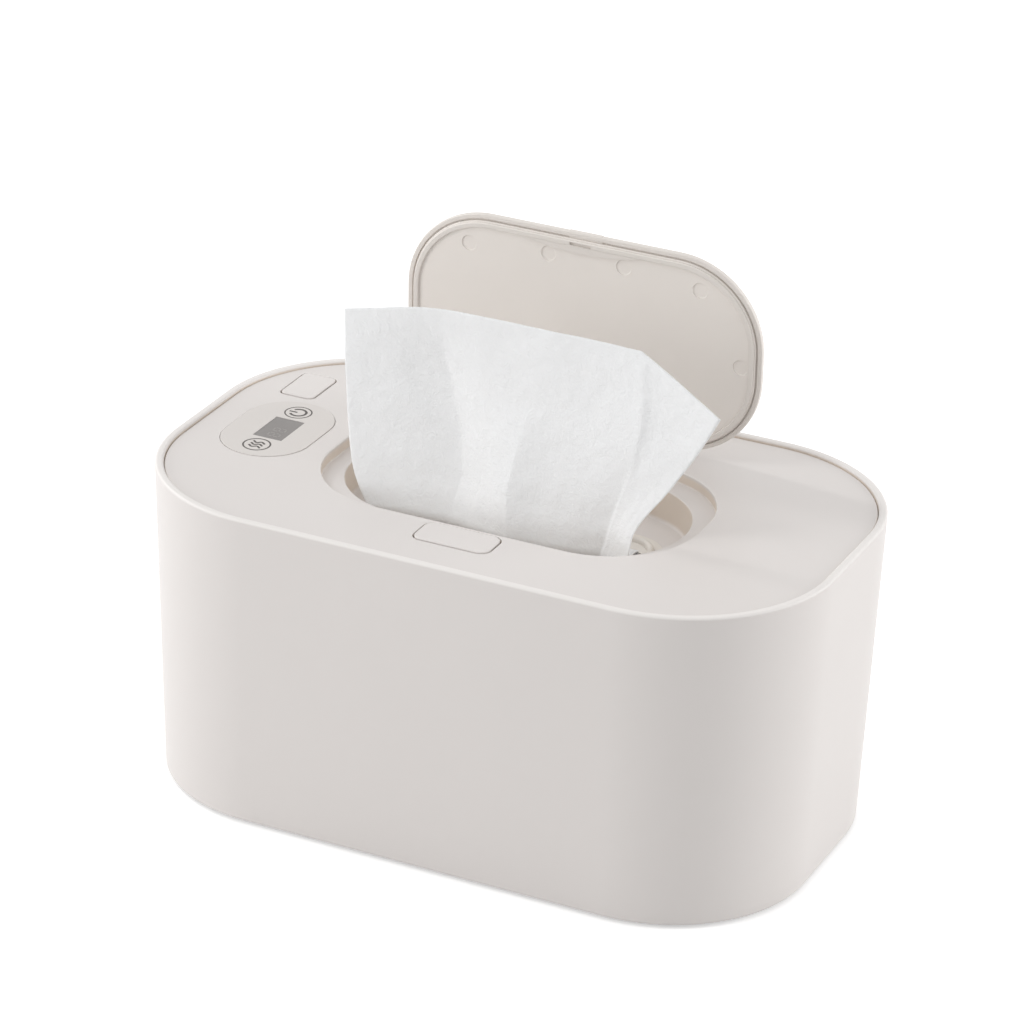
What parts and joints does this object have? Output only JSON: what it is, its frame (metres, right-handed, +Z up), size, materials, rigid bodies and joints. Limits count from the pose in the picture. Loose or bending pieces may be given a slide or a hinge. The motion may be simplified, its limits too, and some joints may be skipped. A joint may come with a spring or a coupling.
{
  "type": "baby wipe warmer",
  "caption": "Oval warmer for wet wipes: tub with heated tank, lift-out top cover, spring-open flip lid over a dispensing slot, touch panel and push buttons.",
  "frame": {"origin": "on the table under the middle of the tub", "axes": "+X to the right along the length, -Y to the front where the lid's button is, +Z up; the control panel is at -X"},
  "size_m": [0.205, 0.124, 0.1592],
  "materials": {
    "housing_plastic": "satin moulded, fine grain",
    "base_plastic": "fine spark grain",
    "foot_rubber": "matte",
    "screw_steel": "zinc plated",
    "tank_plastic": "smooth satin",
    "heating_film": "glossy film with a printed track",
    "foam": "closed-cell foam",
    "black_plastic": "satin",
    "circuit_board": "solder mask",
    "contact_brass": "bright",
    "lead_red": "satin insulation",
    "lead_white": "satin insulation",
    "pin_steel": "drawn",
    "latch_plastic": "satin",
    "cover_plastic": "satin moulded, fine grain",
    "liner_plastic": "smooth satin",
    "silicone": "matte silicone",
    "panel_film": "matte film with printed symbols",
    "display_grey": "smoked window",
    "button_plastic": "satin moulded",
    "lid_plastic": "satin moulded",
    "lid_inner_plastic": "smooth moulded with ejector marks",
    "wipe_cloth": "damp nonwoven"
  },
  "bodies": {
    "housing": {"outer_shell": "housing_plastic", "base_plate": "base_plastic", "rubber_feet": "foot_rubber", "base_screws": "screw_steel", "wipe_tank": "tank_plastic", "tank_screws": "screw_steel", "heating_film": "heating_film", "insulation_sleeve": "foam", "thermistor": "black_plastic", "thermal_fuse": "screw_steel", "main_board": "circuit_board", "board_screws": "screw_steel", "power_inlet": "black_plastic", "inlet_pin": "contact_brass", "heater_leads": "lead_red", "panel_lead_lower": "lead_white", "contact_socket": "black_plastic", "socket_pads": "contact_brass", "end_clips": "pin_steel", "cover_latch_hook": "latch_plastic"},
    "cover": {"top_cover": "cover_plastic", "cover_liner": "liner_plastic", "cover_screws": "screw_steel", "cover_gasket": "silicone", "slot_plate": "silicone", "control_panel": "panel_film", "display_window": "display_grey", "display_module": "latch_plastic", "control_board": "circuit_board", "touch_springs": "contact_brass", "contact_block": "black_plastic", "contact_pins": "contact_brass", "panel_lead_upper": "lead_white", "flip_hinge_pin": "pin_steel", "flip_lid_spring": "pin_steel", "lid_latch_hook": "latch_plastic", "lid_button_spring": "pin_steel", "cover_button_spring": "pin_steel", "wipe": "wipe_cloth"},
    "lid": {"flip_lid": "lid_plastic", "lid_inner_panel": "lid_inner_plastic", "lid_seal": "silicone"},
    "lid_button": {"lid_release_button": "button_plastic"},
    "cover_button": {"cover_release_button": "button_plastic"}
  },
  "joints": [
    {"name": "cover_lift", "type": "slide", "parent": "housing", "child": "cover", "axis": [0, 0, 1], "range_m": [0, 0.08], "deforming": ["cover_latch_hook", "end_clips"]},
    {"name": "flip_lid_hinge", "type": "hinge", "parent": "cover", "child": "lid", "pos_m": [0, 0.0366, 0.0903], "axis": [1, 0, 0], "range_deg": [0, 88], "stiffness_Nm_per_rad": 0.0064, "springref_deg": -20.05, "deforming": ["wipe", "lid_latch_hook", "flip_lid_spring"]},
    {"name": "lid_button_press", "type": "slide", "parent": "cover", "child": "lid_button", "axis": [0, 0, -1], "range_m": [0, 0.0015], "stiffness_N_per_m": 400, "springref_m": -0.001, "deforming": ["lid_button_spring"]},
    {"name": "cover_button_press", "type": "slide", "parent": "cover", "child": "cover_button", "axis": [0, 0, -1], "range_m": [0, 0.002], "stiffness_N_per_m": 400, "springref_m": -0.001, "deforming": ["cover_button_spring"]}
  ]
}
